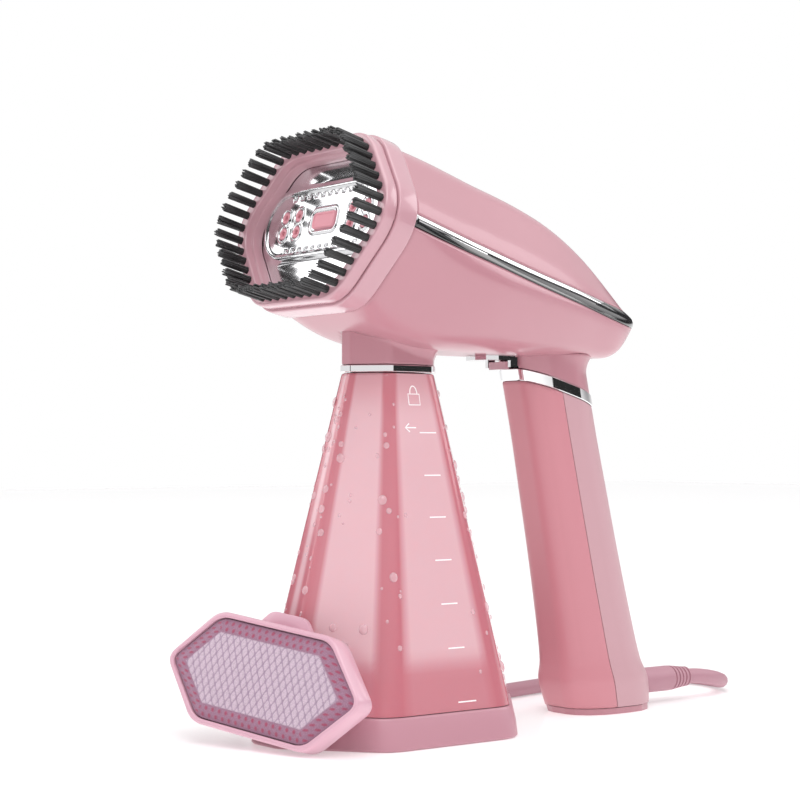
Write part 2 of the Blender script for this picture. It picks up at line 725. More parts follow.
# ---- Barrel ----
@dataclass
class Barrel:
    """Two shells that meet in a trim strip, with the tank's socket and the handle's stub under them."""

    tank: WaterTank = field(default_factory=WaterTank)
    base: float = 149.7
    start: float = -24.6
    length: float = 154.6
    wall: float = 2.0
    tilt: float = math.radians(13.97)
    trim_proud: float = 0.5
    settled: float = 0.36
    flare: float = 3.4
    flare_height: float = 5.5
    stub_opening: tuple[float, float, float] = (12.4, 17.2, 79.8)  # half width, half length, middle
    opening_rise: float = 14.0  # the openings reach this far above the barrel's underside

    def __post_init__(self) -> None:
        """Works out the long curves of the barrel; heights are above its underside."""
        def profile(*pairs: tuple[float, float]) -> Callable[[Array], Array]:
            """A curve whose places are shares of the barrel's length."""
            return smooth([(self.along(share), value) for share, value in pairs])

        self.parting = profile((0, 45.3), (0.2, 38.4), (0.48, 28.4), (0.75, 20.3), (0.88, 17), (1, 16.4))
        self.top = profile(
            (0, 76.6), (0.29, 67.8), (0.56, 56.3), (0.735, 43.1), (0.905, 23.8), (0.97, 18.9), (1, 17.3)
        )
        self.bottom = profile(
            (0, 14), (0.1, 5.4), (0.2, 0.7), (0.27, 0), (0.84, 0), (0.9, 1.8), (0.955, 8.2), (1, 15.4)
        )
        self.half_width = profile(
            (0, 53.4), (0.2, 45.4), (0.33, 41.4), (0.48, 36.6), (0.63, 30.9), (0.75, 25), (0.876, 18.2),
            (0.955, 10), (1, 1.6),
        )
        quarter = rounded(
            [(1, 0, 0.365), (0.53, 1, 0.225), (-0.53, 1, 0.225), (-1, 0, 0.365), (-0.53, -1, 0.225),
             (0.53, -1, 0.225)], 33, 24,
        )
        rising = quarter[(quarter[:, 0] >= -1e-9) & (quarter[:, 1] >= -1e-9)]
        rising = rising[np.argsort(np.arctan2(rising[:, 1], rising[:, 0]))]
        rising = np.vstack([rising, [[0, 1]]])
        self.quarter = rising
        self.quarter_at = np.r_[0, np.cumsum(np.linalg.norm(np.diff(rising, axis=0), axis=1))]

    def along(self, share: float) -> float:
        """Y at a share of the barrel's length."""
        return self.start + self.length * share

    def strip(self, y: Array) -> Array:
        """Half height of the trim strip."""
        return 2.1 + (np.asarray(y) - self.start) / self.length

    def stations(self, count: int, last: float = 1.0) -> Array:
        """Places along Y, closer together towards the tail."""
        return self.start + self.length * last * np.sin(np.linspace(0, math.pi / 2, count))

    def place(self, u: Array, v: Array, y: Array, proud: float = 0.0, sharp: Array | float = 1.0) -> Array:
        """Point of the barrel's skin.

        Across is u times the half width there, swelling on the lower side behind the head; up is v times
        the reach from the parting line to the top or the underside; near the mouth each station leans
        with the head's tilt, and the lean dies out further back.

        Args:
            u: Across, -1 to 1.
            v: Up, -1 to 1.
            y: Station along the barrel.
            proud: Outward step.
            sharp: Factor on the half width, for the closing of the tail.

        Returns:
            Points (..., 3).
        """
        u, v, y = np.broadcast_arrays(u, v, y)
        middle = self.parting(y)
        reach = np.where(v > 0, self.top(y) - middle, middle - self.bottom(y)) + proud
        z = middle + v * np.maximum(reach, 0.5)
        belly = ease(y, self.start, self.along(self.settled)) * 0.6 * np.abs(v) * (1 + v)
        swell = 1 + np.where(v < 0, belly, 0)
        lean = math.tan(self.tilt) * (1 - ease(y, self.along(0.02), self.along(self.settled)))
        width = np.maximum(self.half_width(y) + proud, 0.5) * sharp
        return np.stack([u * width * swell, y + lean * (z - middle), self.base + z], -1)

    def on_quarter(self, v0: Array, across: int) -> tuple[Array, Array]:
        """Outline points of one quarter from a starting height up to the middle of the flat.

        Args:
            v0: Starting height of each station.
            across: Points on each quarter.

        Returns:
            u and v, each (stations, across).
        """
        start = np.interp(v0, self.quarter[:, 1], self.quarter_at)
        share = np.linspace(0, 1, across)[None]
        at = start[:, None] + (self.quarter_at[-1] - start[:, None]) * share
        u, v = (np.interp(at, self.quarter_at, self.quarter[:, i]) for i in (0, 1))
        return u, v

    def half(self, side: int, last: float, count: int = 110, across: int = 48) -> Array:
        """Rows of the upper (1) or lower (-1) shell, from one edge of the strip round to the other.

        Args:
            side: 1 or -1.
            last: Share of the length where the shell has run out.
            count: Stations.
            across: Points on each quarter.

        Returns:
            Points (count, 2 * across - 1, 3).
        """
        y = self.stations(count, last)
        reach = (self.top(y) - self.parting(y)) if side > 0 else (self.parting(y) - self.bottom(y))
        v0 = np.clip((self.strip(y) + GAP) / reach, 0, 0.97)
        u, v = self.on_quarter(v0, across)
        u, v = np.hstack([u, -u[:, -2::-1]]), np.hstack([v, v[:, -2::-1]]) * side
        return self.place(u, v, y[:, None])

    def covers(self) -> None:
        """Upper cover and lower shell, the lower one open over the tank's socket and the handle."""
        skin(
            "barrel_cover_upper", self.half(1, 0.965), Look(SHELL_PINK, Body.STEAMER, ("barrel_top_cover",),
            wall=self.wall), loop_columns=False,
        )
        inner = self.tank.rings([self.base], [-1.0], [self.tank.top_scale])[0]

        def solid(middle: Array) -> Array:
            """Quads outside the openings near the underside: the socket's outline and the stub's ellipse."""
            x, y, z = middle.T
            angle = np.arctan2(inner[:, 1], inner[:, 0])
            order = np.argsort(angle)
            reach = np.linalg.norm(inner[:, :2], axis=1)
            edge = np.interp(np.arctan2(y, x), angle[order], reach[order])
            half_width, half_length, at = self.stub_opening
            low = z < self.base + self.opening_rise
            in_socket = np.hypot(x, y) < edge
            in_stub = np.hypot(x / half_width, (y - at) / half_length) < 1
            return ~(low & in_socket) & ~(low & in_stub)

        skin(
            "barrel_shell_lower", self.half(-1, 0.985), Look(SHELL_PINK, Body.STEAMER,
            ("barrel_lower_shell",), wall=self.wall), loop_columns=False, keep=solid,
        )

    def trim(self) -> None:
        """Plated strip round both sides and the tail: a light upper and a smoked lower facet."""
        y = self.stations(120)
        closing = np.sqrt(np.clip(1 - np.clip((y - (y[-1] - 3.2)) / 3.2, 0, 1) ** 2, 0.0, 1))
        y = np.concatenate([y, y[-2::-1]])
        closing = np.concatenate([closing, closing[-2::-1]])
        hand = np.where(np.arange(len(y)) < 120, 1, -1)
        up, down = self.top(y) - self.parting(y), self.parting(y) - self.bottom(y)
        share = np.linspace(-1, 1, 13)
        proud = self.trim_proud * np.where(share > 0, 1 - 0.35 * share**4, 1 - 0.5 * share**2)
        half = self.strip(y)[:, None]
        v = np.where(share > 0, share * half / np.maximum(up, half[:, 0])[:, None],
                     share * half / np.maximum(down, half[:, 0])[:, None])
        u = np.interp(np.abs(v), self.quarter[:, 1], self.quarter[:, 0]) * hand[:, None]
        rows = self.place(u, v, y[:, None], 0.0, closing[:, None])
        rows[..., 0] += np.sign(u) * proud
        look = Look(CHROME, Body.STEAMER, ("side_trim_strip",), wall=1.4, angle=25)
        piece = skin("side_trim_plated", rows, look, loop_columns=False)
        piece.data.materials.append(SMOKED.material())
        parts = piece.data
        middle = np.empty(len(parts.polygons) * 3, np.float32)
        parts.polygons.foreach_get("center", middle)
        _, place_y, z = (middle.reshape(-1, 3) / MM).T
        dip = 3.2 * ease(place_y, self.along(0.72), self.along(0.8))
        under = z < self.base + self.parting(place_y) + 0.1 + dip
        parts.polygons.foreach_set("material_index", under.astype(np.int32))

    def socket(self) -> None:
        """Socket skirt under the barrel, in line with the tank's top, flaring into the shell above it."""
        low, tank = self.ring_top, self.tank
        edge = tank.rings([low], [0.0], [tank.top_scale])[0]
        ceiling = self.base + self.bottom(edge[:, 1]) + 1.2
        share = np.linspace(0.04, 1, 22)[:, None]
        z = low + share * (ceiling - low)[None]
        rise = np.clip(1 - (ceiling[None] - z) / self.flare_height, 0, 1)
        out = edge[:, :2] / np.linalg.norm(edge[:, :2], axis=1, keepdims=True)
        skirt = edge[None, :, :2] + (self.flare * rise**2)[..., None] * out[None]
        outer = np.concatenate([skirt, z[..., None]], -1)
        foot = tank.rings([low, low, low + 0.1], [-2.0, -0.35, -0.08], [tank.top_scale] * 3)
        inner = tank.rings([low + 20, low], [-2.0, -2.0], [tank.top_scale] * 2)
        inner[0, :, 2] = ceiling
        rows = np.concatenate([foot, outer, inner])
        skin("tank_socket", rows, Look(SHELL_PINK, Body.STEAMER), loop_rows=True)

    @property
    def ring_top(self) -> float:
        """Height of the socket's rim over the tank's ring."""
        return self.tank.ring[1] + GAP

    def build(self) -> None:
        """Builds every piece of the barrel."""
        self.covers()
        self.trim()
        self.socket()


# ---- Head ----
@dataclass
class Head:
    """Collar, brush frame, tufts, soleplate and gasket in the head's own frame, tilted up."""

    tilt: float = math.radians(13.97)
    centre: tuple[float, float] = (-38.38, 198.43)
    half_width: float = 54.2
    half_height: float = 32.8
    flat: float = 27.9
    tuft_count: int = 46
    tuft_length: float = 12.2
    tuft_radius: float = 1.4
    tuft_inset: float = 3.1
    plate_depth: float = 7.5
    lift: float = 2.6
    nozzle_x: tuple[float, ...] = (-27, -18, 18, 27)
    nozzle_rows: float = 3.3
    nozzle_radius: float = 2.3
    slot: tuple[float, float] = (7.2, 3.2)
    seed: int = 11

    def hexagon(self, grow: float) -> Array:
        """Six-sided outline grown or shrunk.

        Args:
            grow: Outward step.

        Returns:
            Points (n, 2): across and up.
        """
        w, h, f = self.half_width + 1.15 * grow, self.half_height + grow, self.flat + 0.55 * grow
        a, b = 0.365, 0.225
        return rounded([(w, 0, a), (f, h, b), (-f, h, b), (-w, 0, a), (-f, -h, b), (f, -h, b)], 17, 8)

    def to_world(self, local: Array) -> Array:
        """Turns points of the head's frame (across, back, up) by the tilt and moves them to its centre."""
        x, y, z = np.moveaxis(local, -1, 0)
        c, s = math.cos(self.tilt), math.sin(self.tilt)
        return np.stack([x, self.centre[0] + y * c + z * s, self.centre[1] - y * s + z * c], -1)

    def swept(self, name: str, profile: Sequence[tuple[float, float]], look: Look) -> bpy.types.Object:
        """A closed profile of outward steps and depths carried round the outline.

        Args:
            name: The object's name.
            profile: Outward step and depth of each point.
            look: Its finish and body.

        Returns:
            The object.
        """
        rows = []
        for grow, depth in profile:
            outline = self.hexagon(grow)
            rows.append(np.column_stack([outline[:, 0], np.full(len(outline), depth), outline[:, 1]]))
        return skin(name, self.to_world(np.stack(rows)), look, loop_rows=True)

    def rims(self) -> None:
        """Collar with a step and rounded edges, and the brush frame in front of it."""
        collar = [
            (-3.4, 5.5), (0.3, 5.5), (0.65, 5.6), (0.85, 5.9), (0.9, 6.4), (0.98, 9.0), (0.9, 13.2),
            (0.8, 13.7), (0.5, 14.05), (-0.1, 14.2), (-3.4, 14.2),
        ]
        self.swept("head_collar_rim", collar, Look(COLLAR_PINK, Body.STEAMER, ("head_collar",), angle=60))
        frame_profile = [
            (-7.0, 7.2), (-7.0, 3.2), (-6.8, 3.0), (-5.95, 3.0), (-5.8, 2.85), (-5.8, 0.7), (-5.6, 0.25),
            (-5.2, 0.0), (-0.9, 0.0), (-0.35, 0.18), (-0.08, 0.7), (0.0, 1.4), (0.0, 4.7), (-0.15, 5.05),
            (-0.5, 5.2), (-3.8, 5.2), (-3.8, 7.2),
        ]
        look = Look(COLLAR_PINK, Body.BRUSH, ("brush_frame",), angle=60)
        self.swept("brush_frame_rim", frame_profile, look)

    def bristles(self) -> None:
        """Tufts of nylon filaments, planted in the brush frame.

        Each tuft is one middle filament with rings of 6 and 12 round it. A filament is a six-sided prism
        that splays a little and ends at its own seeded random length.
        """
        random = np.random.default_rng(self.seed)
        row = spaced(self.hexagon(-self.tuft_inset), self.tuft_count)
        ring = [(0.0, 0.0)]
        for count, radius in ((6, 0.46), (12, 0.88)):
            turn = np.arange(count) / count * 2 * math.pi
            ring += list(zip(radius * np.cos(turn), radius * np.sin(turn)))
        place = np.array(ring) * self.tuft_radius
        n, k = self.tuft_count, len(place)
        jitter = random.normal(0, 0.05, (n, k, 2))
        foot = row[:, None] + place[None] * 0.92 + jitter
        splay = 1 + 0.1 * random.random((n, 1, 1))
        tip = row[:, None] + place[None] * splay + jitter * 3
        length = self.tuft_length - 1.1 * random.random((n, k)) ** 1.6
        length[0, 0] = self.tuft_length
        share = np.array([-0.1, 0.5, 0.97, 1.0])
        size = np.array([0.36, 0.36, 0.33, 0.2])
        centre = foot[:, :, None] + (tip - foot)[:, :, None] * np.clip(share, 0, 1)[None, None, :, None]
        turn = np.arange(6) / 6 * 2 * math.pi
        circle = np.stack([np.cos(turn), np.sin(turn)], -1)
        across = centre[:, :, :, None] + size[None, None, :, None, None] * circle[None, None, None]
        depth = np.broadcast_to(-(length[:, :, None] * share)[..., None], across.shape[:-1])
        local = np.stack([across[..., 0], depth, across[..., 1]], -1).reshape(n * k, 24, 3)
        faces = np.vstack([grid_faces(4, 6, False, True), [[18, 19, 20, 21], [18, 21, 22, 23]]])
        numbers = (np.arange(n * k) * 24)[:, None, None] + faces[None]
        look = Look(BRISTLE, Body.BRUSH, ("bristle_ring",))
        piece = as_object("bristle_tufts", self.to_world(local), numbers.reshape(-1, 4), look)
        top = self.tuft_length

        def ends(points: Array) -> Array:
            """Paler towards the cut ends."""
            c, s = math.cos(self.tilt), math.sin(self.tilt)
            back = (points[:, 1] - self.centre[0]) * c - (points[:, 2] - self.centre[1]) * s
            return ease(-back, top - 2.5, top)

        set_attribute(piece, "shade", ends)

    def height(self, x: Array, z: Array) -> Array:
        """How far the pressed plate stands forward of its plain face.

        A ridge follows a rounded border, the field inside it is a little higher, a ring stands round each
        nozzle hole, a bevel falls to the middle slot, and short dashes are pressed in along the border's
        long sides.

        Args:
            x: Across.
            z: Up, from the head's middle.

        Returns:
            Height towards the front.
        """
        up = z - self.lift
        border = np.hypot(np.maximum(np.abs(x) - 26.5, 0), up) - 13.5
        ridge = np.exp(-((border / 1.5) ** 2)) * 0.9
        field_rise = 0.25 * (1 - ease(border, -3.0, 0.0))
        dash = np.exp(-(((np.abs(up) - 10.9) / 0.6) ** 2)) * (1 - ease(np.abs(x), 25, 26))
        beads = -0.7 * dash * ease(np.cos(x * 2 * math.pi / 4.6), -0.3, 0.3)
        beside, above = (np.maximum(np.abs(a) - half + 1.5, 0) for a, half in zip((x, up), self.slot))
        slot = np.hypot(beside, above)
        frame_rise = 0.5 * np.exp(-(((slot - 3.0) / 0.7) ** 2))
        column = np.array(self.nozzle_x)[:, None] * np.ones(2)
        rank = np.array([-1, 1]) * self.nozzle_rows * np.ones((len(self.nozzle_x), 1))
        near = np.min(
            [np.hypot(x - a, up - b) for a, b in zip(column.ravel(), rank.ravel())], axis=0
        )
        boss = 0.6 * np.exp(-(((near - self.nozzle_radius - 0.75) / 0.5) ** 2))
        hole = 1.5 * (1 - ease(near, self.nozzle_radius - 0.3, self.nozzle_radius + 0.25))
        return ridge + field_rise + beads + frame_rise + boss - hole

    def plate(self) -> None:
        """Soleplate: a fine polar net from the outline to the middle, raised by the height formula."""
        outline = spaced(self.hexagon(-3.9), 300)
        rim = spaced(self.hexagon(-3.8), 300)
        share = np.linspace(1, 0.004, 130)[:, None, None]
        flat = outline[None] * share + np.array([0, self.lift])[None, None] * (1 - share) ** 2
        x, z = flat[..., 0], flat[..., 1]
        near_rim = ease(1 - np.broadcast_to(share[..., 0], x.shape), 0.0, 0.05)
        depth = self.plate_depth - self.height(x, z) * near_rim
        front = np.stack([x, depth, z], -1)
        back = np.stack([np.stack([rim[:, 0], np.full(300, y), rim[:, 1]], -1) for y in (9.9, 7.6)])
        rows = self.to_world(np.concatenate([back, front]))
        skin("soleplate_pressed", rows, Look(STEEL, Body.STEAMER, ("soleplate",), angle=60), caps=True)

    def gasket(self) -> None:
        """Pink nozzles in the plate's holes and the block in its middle slot, each a turned or boxed ring."""
        turn = np.arange(24) / 24 * 2 * math.pi
        section = np.array([(2.25, 8.5), (2.25, 7.2), (1.95, 6.95), (1.35, 6.95), (1.1, 7.2), (1.0, 8.5)])
        ring = np.stack(
            [
                section[:, None, 0] * np.cos(turn),
                np.broadcast_to(section[:, None, 1], (6, 24)),
                section[:, None, 0] * np.sin(turn),
            ], -1,
        )
        tube = grid_faces(6, 24, True, True)
        blocks = []
        for x in self.nozzle_x:
            for z in (self.lift - self.nozzle_rows, self.lift + self.nozzle_rows):
                blocks.append((ring + np.array([x, 0, z]), tube))
        w, h = self.slot
        steps = [(0.15, 8.6), (0.15, 6.9), (-0.35, 6.45), (-0.7, 6.45), (-1.0, 6.75), (-1.0, 6.8)]
        rows = []
        for grow, depth in steps:
            corners = [(w + grow, h + grow, 0.3), (-w - grow, h + grow, 0.3), (-w - grow, -h - grow, 0.3),
                       (w + grow, -h - grow, 0.3)]
            outline = rounded(corners, 7, 4)
            level = np.full(len(outline), depth)
            rows.append(np.column_stack([outline[:, 0], level, outline[:, 1] + self.lift]))
        block = np.stack(rows)
        quads = grid_faces(len(steps), block.shape[1], False, True).tolist()
        points, faces = join_all(blocks)
        start, across = len(points), block.shape[1]
        faces += [[i + start for i in quad] for quad in quads]
        last = start + (len(steps) - 1) * across
        faces += [[first + i for i in range(across)] for first in (start, last)]
        points = np.vstack([points, block.reshape(-1, 3)])
        as_object("nozzle_gasket_face", self.to_world(points), faces, Look(GASKET_PINK, Body.STEAMER))

    def build(self) -> None:
        """Builds every piece of the head."""
        self.rims()
        self.bristles()
        self.plate()
        self.gasket()


# ---- Handle ----
@dataclass
class Handle:
    """Leaning grip in two halves on a sculpted foot, with a plated ring under the barrel's stub."""

    foot_y: float = 112.4
    lean: float = 0.218
    half_depth: float = 19.0
    half_width: float = 14.0
    wall: float = 2.2
    seam: float = 3.4
    bottom: float = 2.9
    ring_middle: float = 138.8
    ring_slope: float = -0.285
    ring_height: float = 4.5
    ring_proud: float = 0.5
    stub_top: float = 150.9
    screws: tuple[float, ...] = (38.0, 80.0, 119.0)
    screw_radius: float = 2.8
    cord_height: float = 10.2
    cord_hole: float = 5.8
    fillet: float = 4.5
    fillet_height: float = 8.0

    def __post_init__(self) -> None:
        """Works out the growth of the section with height and its outline."""
        self.growth = smooth(
            [(0, 1.19), (13.6, 1.27), (21.6, 1.17), (36, 1.11), (66, 1.04), (94, 1), (120, 0.97), (170, 0.97)]
        )
        k = 0.45
        corners = [(0.55, 1, k), (-0.55, 1, k), (-1, 0.5, k), (-1, -0.5, k), (-0.55, -1, k), (0.55, -1, k),
                   (1, -0.5, k), (1, 0.5, k)]
        self.outline = spaced(rounded(corners, 17, 16), 240)

    def middle(self, z: Array) -> Array:
        """Y of the grip's centre line at a height."""
        return self.foot_y - self.lean * np.asarray(z, float)

    def slant(self, v: Array, drop: float) -> Array:
        """Height where the grip's skin meets the ring's plane, lowered by drop.

        The plane falls back at a fixed slope and the centre line leans, so the height solves
        z (1 + slope lean) = middle (1 + slope lean) + slope v depth - drop.
        """
        depth = self.half_depth * 0.97
        return self.ring_middle + (self.ring_slope * v * depth - drop) / (1 + self.ring_slope * self.lean)

    def rows(self, outline: Array, low: Array, high: Array, count: int, proud: float = 0.0) -> Array:
        """The outline carried up between two heights that may differ from point to point.

        Args:
            outline: Points (n, 2) with both half sizes taken as 1.
            low: Lower height, a number or one for each point.
            high: Upper height.
            count: Rows.
            proud: Outward step.

        Returns:
            Points (count, n, 3).
        """
        w = np.linspace(0, 1, count)[:, None]
        u, v = outline.T
        z = np.asarray(low) * (1 - w) + np.asarray(high) * w + 0 * u
        g = self.growth(z)
        x = u * (self.half_width * g + proud)
        return np.stack([x, self.middle(z) + v * (self.half_depth * g + proud), z], -1)

    def half(self, front: bool) -> Array:
        """Part of the outline in front of or behind the seam, from one seam edge round to the other.

        Args:
            front: True for the front half.

        Returns:
            Points (n, 2).
        """
        cut = -self.seam / self.half_depth
        gap = 0.16 / self.half_depth
        start = (1.0, cut - gap) if front else (1.0, cut + gap)
        loop = self.outline
        inside = loop[(loop[:, 1] < cut - 2 * gap) if front else (loop[:, 1] > cut + 2 * gap)]
        angle = np.arctan2(inside[:, 0], -inside[:, 1] if front else inside[:, 1])
        inside = inside[np.argsort(-angle)]
        return np.vstack([start, inside, (-start[0], start[1])])

    def grip(self) -> None:
        """Front and rear half with a seam between them; the rear one has the lead's and the screws' holes."""
        for front, name, node, finish in (
            (True, "grip_front_half", "handle_front_shell", GRIP_FRONT),
            (False, "grip_rear_half", "handle_rear_cover", GRIP_PINK),
        ):
            outline = self.half(front)
            top = self.slant(outline[:, 1], self.ring_height + GAP)
            rows = self.rows(outline, self.bottom, top, 90)
            piece = skin(name, rows, Look(finish, Body.STEAMER, (node,), wall=self.wall), loop_columns=False)
            if not front:
                self.drill(piece)

    def drill(self, piece: bpy.types.Object) -> None:
        """Cuts round holes through the rear half, with a solid made only for that.

        Args:
            piece: The rear half.
        """
        turn = np.arange(32) / 32 * 2 * math.pi
        blocks = []
        holes = [(z, self.screw_radius) for z in self.screws] + [(self.cord_height, self.cord_hole)]
        for z, radius in holes:
            y = float(self.middle(z))
            ring = np.stack([radius * np.cos(turn), np.zeros(32), z + radius * np.sin(turn)], -1)
            rows = np.stack([ring + [0, y + 11, 0], ring + [0, y + 40, 0]])
            faces = grid_faces(2, 32, False, True).tolist()
            fans = [[0, i, i + 1] for i in range(1, 31)]
            fans += [[32, 32 + i, 33 + i] for i in range(1, 31)]
            blocks.append((rows, faces, fans))
        mesh = bpy.data.meshes.new("drill")
        points = np.vstack([b[0].reshape(-1, 3) for b in blocks])
        polygons = [[i + 64 * n for i in f] for n, b in enumerate(blocks) for f in b[1] + b[2]]
        mesh.from_pydata((points * MM).tolist(), [], polygons)
        build = bmesh.new()
        build.from_mesh(mesh)
        bmesh.ops.recalc_face_normals(build, faces=build.faces)
        build.to_mesh(mesh)
        build.free()
        tool = bpy.data.objects.new("drill", mesh)
        bpy.context.scene.collection.objects.link(tool)
        cut = piece.modifiers.new("holes", "BOOLEAN")
        cut.operation, cut.object, cut.solver = "DIFFERENCE", tool, "EXACT"
        bpy.context.view_layer.update()
        shape = bpy.data.meshes.new_from_object(piece.evaluated_get(bpy.context.evaluated_depsgraph_get()))
        piece.modifiers.clear()
        piece.data = shape
        shape.set_sharp_from_angle(angle=math.radians(35))
        bpy.data.objects.remove(tool)

    def ring_and_stub(self) -> None:
        """Plated ring with an upright face, and the short stub that the barrel's shell carries down to it."""
        v = self.outline[:, 1]
        low, high = self.slant(v, self.ring_height), self.slant(v, 0.0)
        p = self.ring_proud
        shares = [(0, -2.2), (0, p - 0.3), (0.06, p), (0.94, p), (1, p - 0.3), (1, -2.2)]
        heights = [low * (1 - s) + high * s for s, _ in shares]
        rows = np.concatenate([self.rows(self.outline, z, z, 1, step) for z, (_, step) in zip(heights, shares)])
        look = Look(CHROME, Body.STEAMER, ("handle_ring",), angle=25)
        skin("handle_ring_plated", rows, look, loop_rows=True)
        stub = self.rows(self.outline, self.slant(v, -GAP), np.full(len(v), self.stub_top), 26)
        rise = np.clip(1 - (self.stub_top - 0.7 - stub[..., 2]) / self.fillet_height, 0, 1) ** 2
        back = ease(v, -0.55, 0.9)[None]
        away = self.outline / np.linalg.norm(self.outline, axis=1, keepdims=True)
        stub[..., :2] += (rise * back * self.fillet)[..., None] * away[None] * np.array([0.4, 1.0])
        skin("handle_stub", stub, Look(SHELL_PINK, Body.STEAMER, wall=self.wall), keep=self.clear_of_trigger)

    @staticmethod
    def clear_of_trigger(middle: Array) -> Array:
        """Quads of the stub outside the window that the trigger's stem slides in."""
        x, y, z = middle.T
        return ~((np.abs(x) < 5.4) & (y < 75) & (z > 143) & (z < 147.3))

    def build(self) -> None:
        """Builds every piece of the handle."""
        self.grip()
        self.ring_and_stub()


# ---- Pad ----
@dataclass
class Pad:
    """Loose clip-on pad: a rimmed frame with a tab and a crowned fabric cushion."""

    half_width: float = 47.6
    half_height: float = 21.6
    flat: float = 27.7
    depth: float = 9.5
    rim: float = 2.1
    floor: float = 5.6
    corner: float = 0.16
    lean: float = math.radians(14.59)
    roll: float = math.radians(7.4)
    yaw: float = math.radians(18.4)
    spot: tuple[float, float] = (6.8, -64.6)
    border: float = 5.9
    rows: int = 120

    def __post_init__(self) -> None:
        """Works out the pad's turn and lifts it so that its lowest corner stands on the floor."""
        def turn(axis: int, angle: float) -> Array:
            """Rotation about one axis."""
            c, s = math.cos(angle), math.sin(angle)
            i, j = [(1, 2), (2, 0), (0, 1)][axis]
            made = np.eye(3)
            made[i, i] = made[j, j] = c
            made[i, j], made[j, i] = -s, s
            return made

        self.turned = turn(2, self.yaw) @ turn(0, -self.lean) @ turn(1, self.roll)
        corners = self.hexagon(0)
        both = np.vstack([np.insert(corners, 1, y, axis=1) for y in (0, self.depth)])
        self.lifted = 0.05 - float((both @ self.turned.T)[:, 2].min())

    def hexagon(self, grow: float, edge_points: int = 10) -> Array:
        """Six-sided outline of the pad grown or shrunk.

        Args:
            grow: Outward step.
            edge_points: Divisions of each straight stretch.

        Returns:
            Points (n, 2).
        """
        w, h = self.half_width + 1.15 * grow, self.half_height + grow
        f, k = self.flat + 0.55 * grow, self.corner
        corners = [(w, 0, k), (f, h, k), (-f, h, k), (-w, 0, k), (-f, -h, k), (f, -h, k)]
        return rounded(corners, 9, edge_points)

    def to_world(self, local: Array) -> Array:
        """Turns points of the pad's frame and puts them where it leans."""
        return local @ self.turned.T + np.array([*self.spot, self.lifted])

    def ring(self, grow: float, depth: float) -> Array:
        """One ring of the pad's outline at a depth."""
        return np.insert(self.hexagon(grow), 1, depth, axis=1)

    def frame(self) -> None:
        """Tray with a rounded rim and a pull tab at its upper edge."""
        r = self.rim
        profile = [
            (-6.0, self.depth), (-0.8, self.depth), (-0.25, self.depth - 0.3), (0.0, self.depth - 0.9),
            (0.0, 1.1), (-0.2, 0.45), (-0.65, 0.08), (-1.1, 0.0), (-r + 0.3, 0.12), (-r, 0.5),
            (-r, self.floor), (-6.0, self.floor),
        ]
        rows = self.to_world(np.stack([self.ring(*p) for p in profile]))
        skin("pad_tray", rows, Look(PAD_RIM, Body.PAD, ("pad_frame",)), caps=True)
        h = self.half_height - 1
        corners = [(-13, h, 0.35), (13, h, 0.35), (8, h + 5.6, 0.35), (-8, h + 5.6, 0.35)]
        rows = []
        for grow, y in ((-0.7, 6.5), (-0.2, 6.65), (0, 7.1), (0, 8.9), (-0.2, 9.35), (-0.7, 9.5)):
            outline = rounded(corners, 9, 6)
            away = outline - np.array([0, h + 2.5])
            outline = outline + away / np.linalg.norm(away, axis=1, keepdims=True) * grow
            rows.append(np.insert(outline, 1, y, axis=1))
        skin("pad_tab", self.to_world(np.stack(rows)), Look(PAD_RIM, Body.PAD), caps=True)

    def cushion(self) -> None:
        """Fabric cushion: flat back, rounded edge and a crowned face with raised diamonds.

        The face's rings shrink towards the middle; its height is a dome plus the diamonds' relief.
        """
        edge = spaced(self.hexagon(-self.rim - 0.35, 20), 420)
        share = np.linspace(1, 0.004, self.rows)[:, None, None]
        flat = edge[None] * share
        inward = self.inward(flat[..., 0], flat[..., 1])
        crown = 1.5 * ease(inward, 0, 5.0) + 0.4 * ease(inward, 4, 18)
        x, z = flat[..., 0], flat[..., 1]
        height = crown + 0.28 * self.cells(x, z) * (inward > self.border) + 0.22 * self.dots(x, z, inward)
        front = np.stack([x, 1.4 - height, z], -1)
        hem = ((-3.2, 5.3), (-2.5, 4.9), (-2.4, 2.4))  # outward step and depth of the edge's rings
        side = [np.insert(spaced(self.hexagon(g, 20), 420), 1, y, axis=1) for g, y in hem]
        rows = np.concatenate([np.stack(side), front])
        points = self.to_world(rows)
        look = Look(Fabric(), Body.PAD, ("pad_cushion",), angle=80)
        piece = skin("pad_cushion_knit", points, look, caps=True)
        self.patterns(piece)

    def local(self, points: Array) -> tuple[Array, Array]:
        """Across and up of world points in the pad's own frame."""
        back = (points - np.array([*self.spot, self.lifted])) @ self.turned
        return back[:, 0], back[:, 2]

    def inward(self, x: Array, z: Array) -> Array:
        """Distance inwards from the outline: the smaller of those to a level and to a sloping edge."""
        w, h = self.half_width - self.rim * 1.15, self.half_height - self.rim
        f = self.flat - self.rim * 0.55
        sloping = (w * h - np.abs(x) * h - np.abs(z) * (w - f)) / math.hypot(h, w - f)
        return np.minimum(h - np.abs(z), sloping)

    def cells(self, x: Array, z: Array) -> Array:
        """Height of the diamonds, 1 in the middle of each and 0 on the lines between them."""
        a, b = x / Fabric.CELL[0], z / Fabric.CELL[1]
        return np.clip(np.abs(np.sin(math.pi * (a + b)) * np.sin(math.pi * (a - b))) * 2.2, 0, 1)

    def dots(self, x: Array, z: Array, inward: Array) -> Array:
        """Two staggered rows of dots along the border: the product of a wave along and a bump across it."""
        level = self.half_height - self.rim - np.abs(z) < inward + 0.05
        run = np.where(level, x, z * 1.36) / Fabric.DOT_PITCH
        first = np.exp(-(((inward - 1.9) / 0.85) ** 2)) * np.cos(math.pi * run) ** 4
        second = np.exp(-(((inward - 4.4) / 0.85) ** 2)) * np.sin(math.pi * run) ** 4
        return first + second

